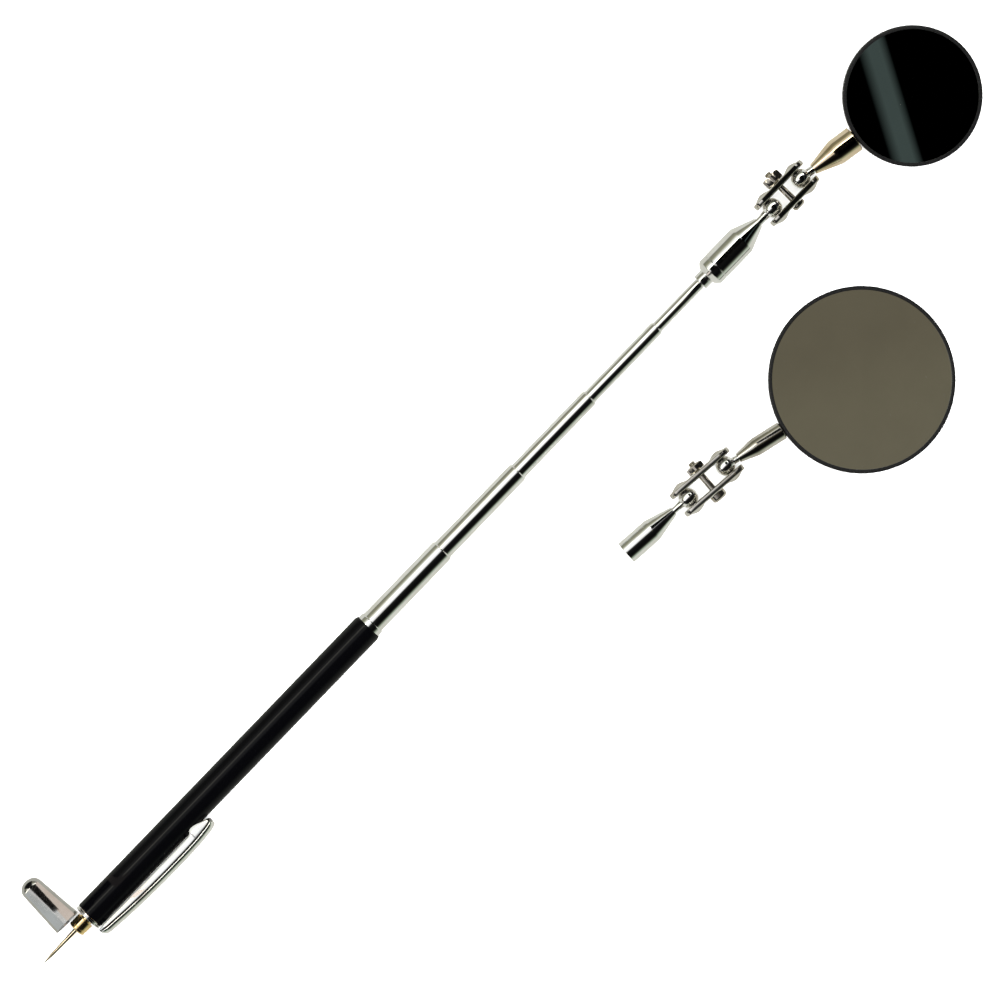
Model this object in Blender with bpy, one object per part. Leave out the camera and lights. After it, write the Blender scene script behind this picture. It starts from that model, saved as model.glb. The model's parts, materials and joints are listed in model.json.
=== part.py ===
"""A pen-type telescoping tool: a pick-up magnet on a mast, a capped scriber and two mirror heads.

The tool lies on a level surface: its mast runs along +X, towards the mirror, and +Z is up.
The small mirror head sits on the magnet. The large one and the scriber's cap lie beside the tool.
Lengths are in millimetres, and MM turns them into metres where a mesh or a place is made.
"""

import math
from typing import NamedTuple

import bmesh
import bpy
from mathutils import Matrix, Vector

MM = 0.001

# ---- Fits ----------------------------------------------------------------------------------------
SEAT_GAP = 0.1  # between pieces that are seated on or in each other
SLIDE_GAP = 0.06  # between a friction bush and the tube that it slides in

# ---- Handle --------------------------------------------------------------------------------------
BARREL_LENGTH = 106.6
BARREL_R = 4.1
BARREL_BORE_R = 3.72
BARREL_EDGE = 0.5
FERRULE_INSIDE = 3.5
FERRULE_OUTSIDE = 1.6
PLUG_LENGTH = 6.0
RING_THICKNESS = 1.0
COLLET_SHANK_IN = 5.0  # how far the collet's shank reaches into the barrel
COLLET_SHANK_R = 1.5
COLLET_R = 2.4
COLLET_LENGTH = 4.3
NEEDLE_R = 0.65
NEEDLE_OUT = 12.8
NEEDLE_POINT = 3.2
NEEDLE_IN = 4.0

# ---- Pocket clip, a channel that is open towards the barrel --------------------------------------
CLIP_HALF_WIDTH = 3.15
CLIP_SHEET = 0.4
CLIP_FOLD_R = 2.1
CLIP_FOLD_STEPS = 3
CLIP_ROOT_Y = -4.2  # the hinge line, where the clip springs from its ring

# ---- Mast: outer radius, place of the front end and length of each stage, thickest first -----------
MAST_R = (3.26, 2.83, 2.40, 1.98, 1.58)
MAST_FRONT_X = (135.0, 164.0, 191.4, 217.2, 233.5)
MAST_LENGTH = (98.0, 94.0, 92.0, 90.0, 84.0)
TUBE_WALL = 0.27
SWAGE_LENGTH = 1.2  # the drawn-in front end that guides the next stage
BUSH_FLANGE = 2.0
BUSH_SPIGOT = 1.6

# ---- Tip and magnet ------------------------------------------------------------------------------
TIP_COLLAR_R = 2.25
TIP_COLLAR_LENGTH = 2.7
TIP_COLLAR_IN = 2.5  # how far the collar's spigot reaches into the last tube
MAGNET_CUP_FLANGE_R = 4.1
MAGNET_CUP_FLANGE_LENGTH = 3.2
MAGNET_CUP_NOSE_R = 2.55
MAGNET_CUP_LENGTH = 9.8
MAGNET_R = 1.95
MAGNET_LENGTH = 5.0

# ---- Scriber cap, lying on its side with its mouth towards the tool ------------------------------
CAP_LENGTH = 15.7
CAP_MOUTH_R = 3.95
CAP_TIP_R = 2.95
CAP_WALL = 0.35
CAP_DOME = 2.5
CAP_DOME_STEPS = 6
CAP_X = -5.75
CAP_MOUTH_Y = 3.0

# ---- Shared by both mirror heads -----------------------------------------------------------------
SOCKET_BORE_R = 2.7
SOCKET_BORE_DEPTH = 8.4
STEM_SEAT = 4.2  # depth of the holes that hold the ball stems
BALL_R = 2.6
DIMPLE_R = 2.7  # the hollow that a ball turns in
DIMPLE_OUTER_R = 4.7
DIMPLE_ROOT = 0.4  # how far a dimple's dome starts inside the plate
PLATE_INNER_Y = 2.25
PLATE_SHEET = 1.6
PLATE_WIDTH = 6.6
SCREW_R = 1.0
SCREW_HOLE_R = 1.15
SCREW_END = 0.9  # past the nut
CUP_THICKNESS = 2.5
CUP_SHEET = 0.6
GLASS_THICKNESS = 1.4
RIM_WIDTH = 1.1  # how far the cup's rolled rim reaches over the glass
RIM_SHEET = 0.3
TONGUE_SHEET = 0.7
TONGUE_HALF_WIDTH = 2.0
TONGUE_REACH = 8.0  # under the mirror cup


class Head(NamedTuple):
    """What differs between the two mirror heads.

    Angles are in degrees, and yaw is about +Z, from the piece before.
    """

    name: str
    place: tuple  # centre of the socket's rear face
    yaw: float
    socket_r: float
    socket_straight: float
    socket_length: float
    stem_r: float
    lower_ball_x: float  # from the socket's rear face
    clamp_yaw: float
    ball_spacing: float
    plate_length: float
    nut_flats: float
    nut_height: float
    screw_head_r: float
    screw_head_height: float
    mirror_yaw: float
    mirror_pitch: float  # about +Y: positive tips the far rim down
    mirror_roll: float  # about the mirror's stem: positive lifts the +Y rim
    cone_x: float  # from the upper ball's centre
    cone_end_x: float
    cone_r: float
    shank_r: float
    shank_end_x: float
    mirror_x: float
    mirror_r: float


SMALL_HEAD = Head(
    name="small",
    place=(239.7, 0.0, BARREL_R),
    yaw=0.0,
    socket_r=4.1,
    socket_straight=9.6,
    socket_length=16.2,
    stem_r=1.15,
    lower_ball_x=21.7,
    clamp_yaw=0.0,
    ball_spacing=10.8,
    plate_length=17.8,
    nut_flats=5.2,
    nut_height=2.6,
    screw_head_r=1.85,
    screw_head_height=1.3,
    mirror_yaw=-9.5,
    mirror_pitch=0.0,
    mirror_roll=8.0,
    cone_x=4.15,
    cone_end_x=11.6,
    cone_r=1.5,
    shank_r=3.6,
    shank_end_x=17.8,
    mirror_x=36.9,
    mirror_r=18.9,
)

LARGE_HEAD = Head(
    name="large",
    place=(168.2, -35.75, 3.3),
    yaw=-4.5,
    socket_r=3.25,
    socket_straight=9.2,
    socket_length=16.9,
    stem_r=0.95,
    lower_ball_x=22.2,
    clamp_yaw=-0.9,
    ball_spacing=13.0,
    plate_length=20.2,
    nut_flats=4.8,
    nut_height=1.9,
    screw_head_r=2.2,
    screw_head_height=2.0,
    mirror_yaw=-8.3,
    mirror_pitch=1.6,
    mirror_roll=0.0,
    cone_x=4.0,
    cone_end_x=9.3,
    cone_r=1.3,
    shank_r=2.5,
    shank_end_x=17.8,
    mirror_x=43.0,
    mirror_r=25.1,
)

# ---- Fineness of the round pieces, in sides ------------------------------------------------------
SIDES_LARGE = 24
SIDES_SMALL = 20
SIDES_MIRROR = 48
BALL_STEPS = 7


# ---- Materials: colour, roughness, metallic ------------------------------------------------------
FINISHES = {
    "black_lacquer": ((0.012, 0.012, 0.014), 0.18, 0.0),
    "chrome": ((0.86, 0.87, 0.88), 0.07, 1.0),
    "brass": ((0.78, 0.57, 0.24), 0.22, 1.0),
    "warm_chrome": ((0.80, 0.68, 0.50), 0.14, 1.0),
    "steel": ((0.62, 0.62, 0.63), 0.25, 1.0),
    "magnet": ((0.20, 0.20, 0.22), 0.40, 1.0),
    "black_rim": ((0.015, 0.015, 0.015), 0.30, 0.0),
    "mirror": ((0.93, 0.94, 0.93), 0.02, 1.0),
}


def material(finish):
    """The material of that name, made the first time it is asked for."""
    made = bpy.data.materials.get(finish)
    if made is None:
        colour, roughness, metallic = FINISHES[finish]
        made = bpy.data.materials.new(finish)
        made.use_nodes = True
        shader = made.node_tree.nodes["Principled BSDF"]
        shader.inputs["Base Color"].default_value = (*colour, 1.0)
        shader.inputs["Roughness"].default_value = roughness
        shader.inputs["Metallic"].default_value = metallic
    return made


def place(name, data, parent, location=(0, 0, 0), rotation=(0, 0, 0)):
    """A new object under parent. location is in millimetres and rotation in degrees."""
    made = bpy.data.objects.new(name, data)
    bpy.context.scene.collection.objects.link(made)
    made.parent = parent
    made.location = Vector(location) * MM
    made.rotation_euler = [math.radians(angle) for angle in rotation]
    return made


def piece(name, mesh, finish, parent, location=(0, 0, 0), rotation=(0, 0, 0)):
    """A named sub-part: a mesh with its finish, smooth on its round faces."""
    if not mesh.materials:
        mesh.materials.append(material(finish))
    mesh.shade_smooth()
    mesh.set_sharp_from_angle(angle=math.radians(32))
    return place(name, mesh, parent, location, rotation)


def mesh_from(bm, name):
    """Turns a bmesh in millimetres into a mesh in metres, with its faces pointing out."""
    bmesh.ops.recalc_face_normals(bm, faces=bm.faces)
    bmesh.ops.scale(bm, vec=(MM, MM, MM), verts=bm.verts)
    mesh = bpy.data.meshes.new(name)
    bm.to_mesh(mesh)
    bm.free()
    return mesh


def bridge(bm, first, second):
    """Faces between two closed rows of vertices, either of which may be a single point."""
    steps = max(len(first), len(second))
    for k in range(steps):
        corners = [
            first[k % len(first)],
            first[(k + 1) % len(first)],
            second[(k + 1) % len(second)],
            second[k % len(second)],
        ]
        bm.faces.new(dict.fromkeys(corners))


def turned(name, profile, sides=SIDES_LARGE):
    """A body turned about local X.

    profile holds (x, radius) points, from axis to axis for a solid and otherwise all round a ring.
    """
    bm = bmesh.new()
    rows = []
    for x, radius in profile:
        angles = [2 * math.pi * k / sides for k in range(sides)] if radius else [0.0]
        rows.append([bm.verts.new((x, radius * math.cos(a), radius * math.sin(a))) for a in angles])
    for first, second in zip(rows, rows[1:]):
        bridge(bm, first, second)
    if profile[0][1]:
        bridge(bm, rows[-1], rows[0])
    return mesh_from(bm, name)


def arc(centre_x, radius, start_deg, end_deg, steps):
    """Points (x, radius) of an arc about a centre on the axis, with angles measured from +X."""
    angles = [math.radians(start_deg + (end_deg - start_deg) * k / steps) for k in range(steps + 1)]
    return [(centre_x + radius * math.cos(a), radius * math.sin(a)) for a in angles]


def extruded(name, outline, low, high):
    """A prism along local Y, from low to high, over an outline of (x, z) points."""
    bm = bmesh.new()
    rows = [[bm.verts.new((x, y, z)) for x, z in outline] for y in (low, high)]
    bridge(bm, *rows)
    for row in rows:
        bm.faces.new(row)
    return mesh_from(bm, name)


def boolean(first, second, operation):
    """The mesh first joined with, or cut by, the mesh second."""
    body = place("boolean_body", first, None)
    tool = place("boolean_tool", second, None)
    modifier = body.modifiers.new("boolean", "BOOLEAN")
    modifier.object = tool
    modifier.operation = operation
    evaluated = body.evaluated_get(bpy.context.evaluated_depsgraph_get())
    result = bpy.data.meshes.new_from_object(evaluated)
    result.name = first.name
    for helper in (body, tool):
        bpy.data.objects.remove(helper)
    return result


def joined(name, meshes):
    """One mesh that holds several, which don't touch each other."""
    bm = bmesh.new()
    for mesh in meshes:
        bm.from_mesh(mesh)
    made = bpy.data.meshes.new(name)
    bm.to_mesh(made)
    bm.free()
    return made


def moved(mesh, offset=(0, 0, 0), turn_deg=0.0, about="Z"):
    """The same mesh, turned about an axis and then shifted by millimetres."""
    mesh.transform(Matrix.Rotation(math.radians(turn_deg), 4, about))
    mesh.transform(Matrix.Translation(Vector(offset) * MM))
    return mesh


# ---- Handle --------------------------------------------------------------------------------------
def make_barrel(tool):
    profile = [
        (0.0, BARREL_BORE_R),
        (0.0, BARREL_R - BARREL_EDGE / 2),
        (BARREL_EDGE / 2, BARREL_R),
        (BARREL_LENGTH - BARREL_EDGE, BARREL_R),
        (BARREL_LENGTH, BARREL_BORE_R + 0.08),
        (BARREL_LENGTH, BARREL_BORE_R),
    ]
    piece("barrel", turned("barrel", profile), "black_lacquer", tool)


def make_ferrule(tool):
    outer = BARREL_BORE_R - SEAT_GAP
    inner = MAST_R[0] + SEAT_GAP
    end = FERRULE_INSIDE + FERRULE_OUTSIDE
    profile = [(0.0, inner), (0.0, outer), (end - 0.3, outer), (end, inner + 0.08), (end, inner)]
    mesh = turned("front_ferrule", profile)
    piece("front_ferrule", mesh, "chrome", tool, (BARREL_LENGTH - FERRULE_INSIDE, 0, 0))


def make_rear(tool):
    """Everything that closes the barrel's rear end: plug, clip ring, collet and needle."""
    plug_r = BARREL_BORE_R - SEAT_GAP
    bore_r = COLLET_SHANK_R + SEAT_GAP
    plug = [(0.2, bore_r), (0.2, plug_r), (PLUG_LENGTH, plug_r), (PLUG_LENGTH, bore_r)]
    piece("rear_plug", turned("rear_plug", plug, SIDES_SMALL), "brass", tool)

    ring_front = -SEAT_GAP
    ring_rear = ring_front - RING_THICKNESS
    ring = [
        (ring_front, bore_r),
        (ring_front, BARREL_R - 0.1),
        (ring_front - 0.15, BARREL_R),
        (ring_rear + 0.25, BARREL_R),
        (ring_rear, BARREL_R - 0.25),
        (ring_rear, bore_r),
    ]
    piece("clip_ring", turned("clip_ring", ring), "chrome", tool)

    face = ring_rear - SEAT_GAP
    end = face - COLLET_LENGTH
    needle_bore = NEEDLE_R + SEAT_GAP / 2
    bore_bottom = end + NEEDLE_IN + SEAT_GAP
    collet = [
        (COLLET_SHANK_IN, 0.0),
        (COLLET_SHANK_IN, COLLET_SHANK_R),
        (face, COLLET_SHANK_R),
        (face, COLLET_R - 0.6),
        (face - 0.6, COLLET_R - 0.6),
        (face - 0.6, COLLET_R),
        (end + 0.4, COLLET_R),
        (end, COLLET_R - 0.4),
        (end, needle_bore),
        (bore_bottom, needle_bore),
        (bore_bottom, 0.0),
    ]
    piece("scriber_collet", turned("scriber_collet", collet, SIDES_SMALL), "brass", tool)

    tip = end - NEEDLE_OUT
    needle = [
        (end + NEEDLE_IN, 0.0),
        (end + NEEDLE_IN, NEEDLE_R),
        (end - 0.5, NEEDLE_R),
        (tip + NEEDLE_POINT, NEEDLE_R * 0.72),
        (tip + 0.1, 0.06),
        (tip, 0.0),
    ]
    piece("scriber_needle", turned("scriber_needle", needle, SIDES_SMALL), "steel", tool)


def clip_sections():
    """Stations along the clip: x, y of its back, of its cheeks' edge and of its web, and half width."""
    width = CLIP_HALF_WIDTH
    solid = CLIP_ROOT_Y - 0.2
    bump = -4.25
    return [
        (-1.05, -5.9, CLIP_ROOT_Y - 0.1, solid, width * 0.80),
        (-0.3, -6.7, CLIP_ROOT_Y - 0.1, solid, width * 0.92),
        (1.0, -7.1, CLIP_ROOT_Y - 0.1, solid, width),
        (2.2, -7.2, -4.3, -7.2 + CLIP_SHEET, width),
        (8.0, -7.65, -4.35, -7.65 + CLIP_SHEET, width),
        (14.0, -7.95, -4.4, -7.95 + CLIP_SHEET, width),
        (20.0, -8.1, -4.4, -8.1 + CLIP_SHEET, width),
        (26.0, -8.15, -4.4, -8.15 + CLIP_SHEET, width),
        (31.0, -8.1, -4.35, -8.1 + CLIP_SHEET, width),
        (33.6, -8.0, -4.2, -6.4, width),
        (34.9, -7.95, -3.2, bump, width),
        (36.6, -7.8, -3.3, bump, width),
        (38.4, -7.6, -4.0, -5.6, width * 0.97),
        (39.8, -7.3, -4.5, -6.3, width * 0.85),
        (40.6, -6.9, -5.0, -6.1, width * 0.62),
    ]


def folded_corner(y, z, radius, side):
    """Points of a rounded corner at (y, z) of the channel, from its cheek to its back. side is +1 or -1."""
    points = []
    for step in range(CLIP_FOLD_STEPS + 1):
        angle = math.radians(90 * step / CLIP_FOLD_STEPS)
        points.append((y + radius * (1 - math.sin(angle)), side * (z - radius * (1 - math.cos(angle)))))
    return points


def make_clip(tool):
    bm = bmesh.new()
    rows = []
    for x, back, edge, web, half in clip_sections():
        inner = half - CLIP_SHEET
        outer_fold = min(CLIP_FOLD_R, 0.8 * (edge - back), 0.8 * half)
        inner_fold = min(CLIP_FOLD_R - CLIP_SHEET, 0.8 * (edge - web))
        outline = [(edge, half)]
        outline += folded_corner(back, half, outer_fold, 1)
        outline += reversed(folded_corner(back, half, outer_fold, -1))
        outline += [(edge, -half), (edge, -inner)]
        outline += folded_corner(web, inner, inner_fold, -1)
        outline += reversed(folded_corner(web, inner, inner_fold, 1))
        outline.append((edge, inner))
        rows.append([bm.verts.new((x, y - CLIP_ROOT_Y, z)) for y, z in outline])
    for first, second in zip(rows, rows[1:]):
        bridge(bm, first, second)
    for row in (rows[0], rows[-1]):
        bm.faces.new(row)
    bmesh.ops.triangulate(bm, faces=bm.faces)
    mesh = mesh_from(bm, "pocket_clip")
    piece("pocket_clip", mesh, "chrome", tool, (0, CLIP_ROOT_Y, 0))


# ---- Mast ----------------------------------------------------------------------------------------
def make_mast(tool):
    """Five nested tubes, each with its front end drawn in and a friction bush behind its rear end."""
    for stage, (radius, front_x, length) in enumerate(zip(MAST_R, MAST_FRONT_X, MAST_LENGTH)):
        number = stage + 1
        last = number == len(MAST_R)
        bore = radius - TUBE_WALL
        throat = bore if last else MAST_R[number] + SLIDE_GAP
        profile = [
            (0.0, bore),
            (0.0, radius),
            (length - SWAGE_LENGTH, radius),
            (length - 0.35, radius - 0.05),
            (length, radius - 0.2 if last else throat + 0.08),
            (length, throat),
        ]
        if not last:
            profile += [(length - 0.8, throat), (length - SWAGE_LENGTH, bore)]
        rear_x = front_x - length
        mesh = turned(f"mast_tube_{number}", profile)
        piece(f"mast_tube_{number}", mesh, "chrome", tool, (rear_x, 0, 0))

        outer_bore = MAST_R[stage - 1] - TUBE_WALL if stage else BARREL_BORE_R
        flange_r = outer_bore - SLIDE_GAP
        spigot_r = bore - SEAT_GAP / 2
        hole_r = spigot_r - 0.45
        bush = [
            (-SEAT_GAP - BUSH_FLANGE, hole_r),
            (-SEAT_GAP - BUSH_FLANGE, flange_r),
            (-SEAT_GAP, flange_r),
            (-SEAT_GAP, spigot_r),
            (BUSH_SPIGOT, spigot_r),
            (BUSH_SPIGOT, hole_r),
        ]
        mesh = turned(f"tube_bush_{number}", bush, SIDES_LARGE)
        piece(f"tube_bush_{number}", mesh, "brass", tool, (rear_x, 0, 0))


def make_tip(tool):
    """The collar on the last tube, the steel cup and the magnet in its nose."""
    spigot_r = MAST_R[-1] - TUBE_WALL - SEAT_GAP / 2
    collar = [
        (-TIP_COLLAR_IN, 0.0),
        (-TIP_COLLAR_IN, spigot_r),
        (SEAT_GAP, spigot_r),
        (SEAT_GAP, TIP_COLLAR_R - 0.15),
        (SEAT_GAP + 0.15, TIP_COLLAR_R),
        (TIP_COLLAR_LENGTH - SEAT_GAP, TIP_COLLAR_R),
        (TIP_COLLAR_LENGTH - SEAT_GAP, 0.0),
    ]
    tip_x = MAST_FRONT_X[-1]
    piece("tip_collar", turned("tip_collar", collar, SIDES_SMALL), "chrome", tool, (tip_x, 0, 0))

    pocket_x = MAGNET_CUP_LENGTH - MAGNET_LENGTH - SEAT_GAP
    cup = [
        (0.0, 0.0),
        (0.0, TIP_COLLAR_R + 0.5),
        (1.3, MAGNET_CUP_FLANGE_R),
        (MAGNET_CUP_FLANGE_LENGTH - 0.15, MAGNET_CUP_FLANGE_R),
        (MAGNET_CUP_FLANGE_LENGTH, MAGNET_CUP_FLANGE_R - 0.15),
        (MAGNET_CUP_FLANGE_LENGTH, MAGNET_CUP_NOSE_R),
        (MAGNET_CUP_LENGTH - 0.2, MAGNET_CUP_NOSE_R),
        (MAGNET_CUP_LENGTH, MAGNET_CUP_NOSE_R - 0.2),
        (MAGNET_CUP_LENGTH, MAGNET_R + SEAT_GAP),
        (pocket_x, MAGNET_R + SEAT_GAP),
        (pocket_x, 0.0),
    ]
    cup_x = tip_x + TIP_COLLAR_LENGTH
    piece("magnet_cup", turned("magnet_cup", cup), "chrome", tool, (cup_x, 0, 0))

    magnet = [
        (pocket_x + SEAT_GAP, 0.0),
        (pocket_x + SEAT_GAP, MAGNET_R),
        (MAGNET_CUP_LENGTH - 0.05, MAGNET_R),
        (MAGNET_CUP_LENGTH - 0.05, 0.0),
    ]
    mesh = turned("pickup_magnet", magnet, SIDES_SMALL)
    piece("pickup_magnet", mesh, "magnet", tool, (cup_x, 0, 0))


# ---- Scriber cap ---------------------------------------------------------------------------------
def make_cap(layout):
    """A tapered cap with a domed end. It lies on its side, with its whole underside on the surface."""
    straight = CAP_LENGTH - CAP_DOME
    inside = [
        (CAP_LENGTH - CAP_WALL - 0.4, 0.0),
        (straight - 0.2, CAP_TIP_R - CAP_WALL - 0.1),
        (0.0, CAP_MOUTH_R - CAP_WALL),
    ]
    outside = [(0.0, CAP_MOUTH_R), (straight, CAP_TIP_R)]
    for step in range(1, CAP_DOME_STEPS):
        angle = math.radians(90 * step / CAP_DOME_STEPS)
        outside.append((straight + CAP_DOME * math.sin(angle), CAP_TIP_R * math.cos(angle)))
    outside.append((CAP_LENGTH, 0.0))
    mesh = turned("scriber_cap", inside + outside)
    tip_deg = math.degrees(math.atan2(CAP_MOUTH_R - CAP_TIP_R, straight))
    height = CAP_MOUTH_R * math.cos(math.radians(tip_deg))
    holder = place("cap_holder", None, layout, (CAP_X, CAP_MOUTH_Y, height), (0, 0, 90))
    piece("scriber_cap", mesh, "chrome", holder, (0, 0, 0), (0, tip_deg, 0))


# ---- Mirror heads --------------------------------------------------------------------------------
def make_socket(head, origin):
    """The socket that slips over the magnet's nose, with a cone that holds the first ball's stem."""
    nose_r = head.stem_r + 0.35
    stem_bore = head.stem_r + SEAT_GAP / 2
    radius = head.socket_r
    profile = [
        (SOCKET_BORE_DEPTH, 0.0),
        (SOCKET_BORE_DEPTH, SOCKET_BORE_R),
        (0.0, SOCKET_BORE_R),
        (0.0, radius - 0.15),
        (0.15, radius),
        (head.socket_straight - 0.25, radius),
        (head.socket_straight + 0.15, radius - 0.15),
        (head.socket_length, nose_r),
        (head.socket_length, stem_bore),
        (head.socket_length - STEM_SEAT, stem_bore),
        (head.socket_length - STEM_SEAT, 0.0),
    ]
    name = f"{head.name}_socket"
    piece(name, turned(name, profile), "chrome", origin)


def ball_stud(name, stem_r, stem_end):
    """A ball at the origin on a stem that runs along +X."""
    start = math.degrees(math.asin(stem_r / BALL_R))
    profile = [(stem_end, 0.0), (stem_end, stem_r), *arc(0, BALL_R, start, 180, BALL_STEPS)]
    profile[-1] = (-BALL_R, 0.0)
    return turned(name, profile, SIDES_SMALL)


def stadium(length, width, steps=8):
    """The outline of a bar with round ends, as (x, z) points."""
    radius = width / 2
    reach = length / 2 - radius
    right = [math.radians(-90 + 180 * k / steps) for k in range(steps + 1)]
    outline = [(reach + radius * math.cos(a), radius * math.sin(a)) for a in right]
    return outline + [(-x, -z) for x, z in outline]


def clamp_plate(name, head):
    """An oval plate on the +Y side, with a pressed dimple over each ball and a hole for the screw."""
    outer_y = PLATE_INNER_Y + PLATE_SHEET
    slab = extruded(name, stadium(head.plate_length, PLATE_WIDTH), PLATE_INNER_Y, outer_y)
    half_spacing = head.ball_spacing / 2
    root_x = outer_y - DIMPLE_ROOT
    root_deg = math.degrees(math.acos(root_x / DIMPLE_OUTER_R))
    dome = [(root_x, 0.0), *arc(0, DIMPLE_OUTER_R, root_deg, 0, 3)]
    dome[-1] = (DIMPLE_OUTER_R, 0.0)
    hollow = arc(0, DIMPLE_R, 180, 0, 12)
    hollow[0] = (-DIMPLE_R, 0.0)
    hollow[-1] = (DIMPLE_R, 0.0)
    low, high = PLATE_INNER_Y - 1.0, outer_y + 1.0
    hole = [(low, 0.0), (low, SCREW_HOLE_R), (high, SCREW_HOLE_R), (high, 0.0)]
    bosses = []
    cutters = [moved(turned("hole", hole, SIDES_SMALL), turn_deg=90)]
    for x in (-half_spacing, half_spacing):
        bosses.append(moved(turned("dome", dome, SIDES_SMALL), (x, 0, 0), 90))
        cutters.append(moved(turned("hollow", hollow, SIDES_SMALL), (x, 0, 0), 90))
    plate = boolean(slab, joined("bosses", bosses), "UNION")
    plate = boolean(plate, joined("cutters", cutters), "DIFFERENCE")
    plate.name = name
    return plate


def make_clamp(head, lower_joint):
    """Two plates, screw and nut. The screw's head is on the -Y side."""
    middle = (head.ball_spacing / 2, 0, 0)
    outer_y = PLATE_INNER_Y + PLATE_SHEET
    for side, turn in (("left", 0), ("right", 180)):
        name = f"{head.name}_clamp_plate_{side}"
        piece(name, clamp_plate(name, head), "chrome", lower_joint, middle, (turn, 0, 0))

    name = f"{head.name}_clamp_screw"
    head_x = -outer_y - SEAT_GAP
    head_end = head_x - head.screw_head_height
    end_x = outer_y + SEAT_GAP + head.nut_height + SCREW_END
    screw = [
        (head_end, 0.0),
        (head_end, head.screw_head_r * 0.7),
        (head_end + 0.45, head.screw_head_r),
        (head_x, head.screw_head_r),
        (head_x, SCREW_R),
        (end_x - 0.2, SCREW_R),
        (end_x, SCREW_R - 0.2),
        (end_x, 0.0),
    ]
    mesh = moved(turned(name, screw, SIDES_SMALL), turn_deg=90)
    piece(name, mesh, "steel", lower_joint, middle)

    name = f"{head.name}_clamp_nut"
    corner_r = head.nut_flats / 2 / math.cos(math.radians(30))
    corners = [math.radians(30 + 60 * k) for k in range(6)]
    outline = [(corner_r * math.cos(a), corner_r * math.sin(a)) for a in corners]
    low = outer_y + SEAT_GAP
    body = extruded(name, outline, low, low + head.nut_height)
    hole_r = SCREW_R + SEAT_GAP / 2
    hole = [(low - 1, 0.0), (low - 1, hole_r), (end_x + 1, hole_r), (end_x + 1, 0.0)]
    body = boolean(body, moved(turned("hole", hole, SIDES_SMALL), turn_deg=90), "DIFFERENCE")
    piece(name, body, "steel", lower_joint, middle)


def make_mirror(head, upper_joint):
    """The tapered stem with its tongue, the cup with its rolled rim, and the glass."""
    stem_bore = head.stem_r + SEAT_GAP / 2
    bore_end = head.cone_x + STEM_SEAT
    profile = [
        (bore_end, 0.0),
        (bore_end, stem_bore),
        (head.cone_x, stem_bore),
        (head.cone_x, head.cone_r),
        (head.cone_end_x, head.shank_r),
        (head.shank_end_x, head.shank_r),
        (head.shank_end_x, 0.0),
    ]
    name = f"{head.name}_mirror_stem"
    stem = turned(name, profile)
    tongue_top = -CUP_THICKNESS / 2 - SEAT_GAP
    tongue_low = tongue_top - TONGUE_SHEET
    near = head.shank_end_x - 3.0
    far = head.shank_end_x + TONGUE_REACH
    outline = [(near, tongue_low), (far, tongue_low), (far, tongue_top), (near, tongue_top)]
    tongue = extruded("tongue", outline, -TONGUE_HALF_WIDTH, TONGUE_HALF_WIDTH)
    finish = "warm_chrome" if head is SMALL_HEAD else "steel"
    piece(name, boolean(stem, tongue, "UNION"), finish, upper_joint)

    half = CUP_THICKNESS / 2
    radius = head.mirror_r
    wall_r = radius - CUP_SHEET
    floor_x = -half + CUP_SHEET
    lip_x = half - RIM_SHEET
    opening_r = radius - RIM_WIDTH
    cup = [
        (-half, 0.0),
        (-half, radius - 0.4),
        (-half + 0.4, radius),
        (half - 0.4, radius),
        (half, radius - 0.4),
        (half, opening_r),
        (lip_x, opening_r),
        (lip_x, wall_r),
        (floor_x, wall_r),
        (floor_x, 0.0),
    ]
    name = f"{head.name}_mirror_cup"
    mesh = moved(turned(name, cup, SIDES_MIRROR), turn_deg=-90, about="Y")
    piece(name, mesh, "black_rim", upper_joint, (head.mirror_x, 0, 0))

    glass_r = wall_r - SEAT_GAP
    low = floor_x + SEAT_GAP
    high = low + GLASS_THICKNESS
    glass = [(low, 0.0), (low, glass_r), (high, glass_r), (high, 0.0)]
    name = f"{head.name}_mirror_glass"
    mesh = moved(turned(name, glass, SIDES_MIRROR), turn_deg=-90, about="Y")
    piece(name, mesh, "mirror", upper_joint, (head.mirror_x, 0, 0))


def make_head(head, layout):
    """One mirror head. Each empty stands at a joint, and what turns with it is under it."""
    origin = place(f"{head.name}_head", None, layout, head.place, (0, 0, head.yaw))
    make_socket(head, origin)

    ball_place = (head.lower_ball_x, 0, 0)
    lower_joint = place(f"{head.name}_lower_joint", None, origin, ball_place, (0, 0, head.clamp_yaw))
    name = f"{head.name}_lower_ball"
    stem_end = head.lower_ball_x - head.socket_length + STEM_SEAT - 2 * SEAT_GAP
    lower_ball = ball_stud(name, head.stem_r, stem_end)
    piece(name, lower_ball, "chrome", lower_joint, (0, 0, 0), (0, 0, 180 - head.clamp_yaw))
    make_clamp(head, lower_joint)

    turn = (head.mirror_roll, head.mirror_pitch, head.mirror_yaw)
    ball_place = (head.ball_spacing, 0, 0)
    upper_joint = place(f"{head.name}_upper_joint", None, lower_joint, ball_place, turn)
    name = f"{head.name}_upper_ball"
    stem_end = head.cone_x + STEM_SEAT - 2 * SEAT_GAP
    piece(name, ball_stud(name, head.stem_r, stem_end), "chrome", upper_joint)
    make_mirror(head, upper_joint)


def centre_on_origin(layout):
    """Shifts the whole layout so that the origin is under the middle of its bounding box."""
    bpy.context.view_layer.update()
    meshes = [o for o in bpy.context.scene.objects if o.type == "MESH"]
    corners = [o.matrix_world @ v.co for o in meshes for v in o.data.vertices]
    low = [min(corner[axis] for corner in corners) for axis in range(3)]
    high = [max(corner[axis] for corner in corners) for axis in range(3)]
    layout.location.x -= (low[0] + high[0]) / 2
    layout.location.y -= (low[1] + high[1]) / 2
    layout.location.z -= low[2]


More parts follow.
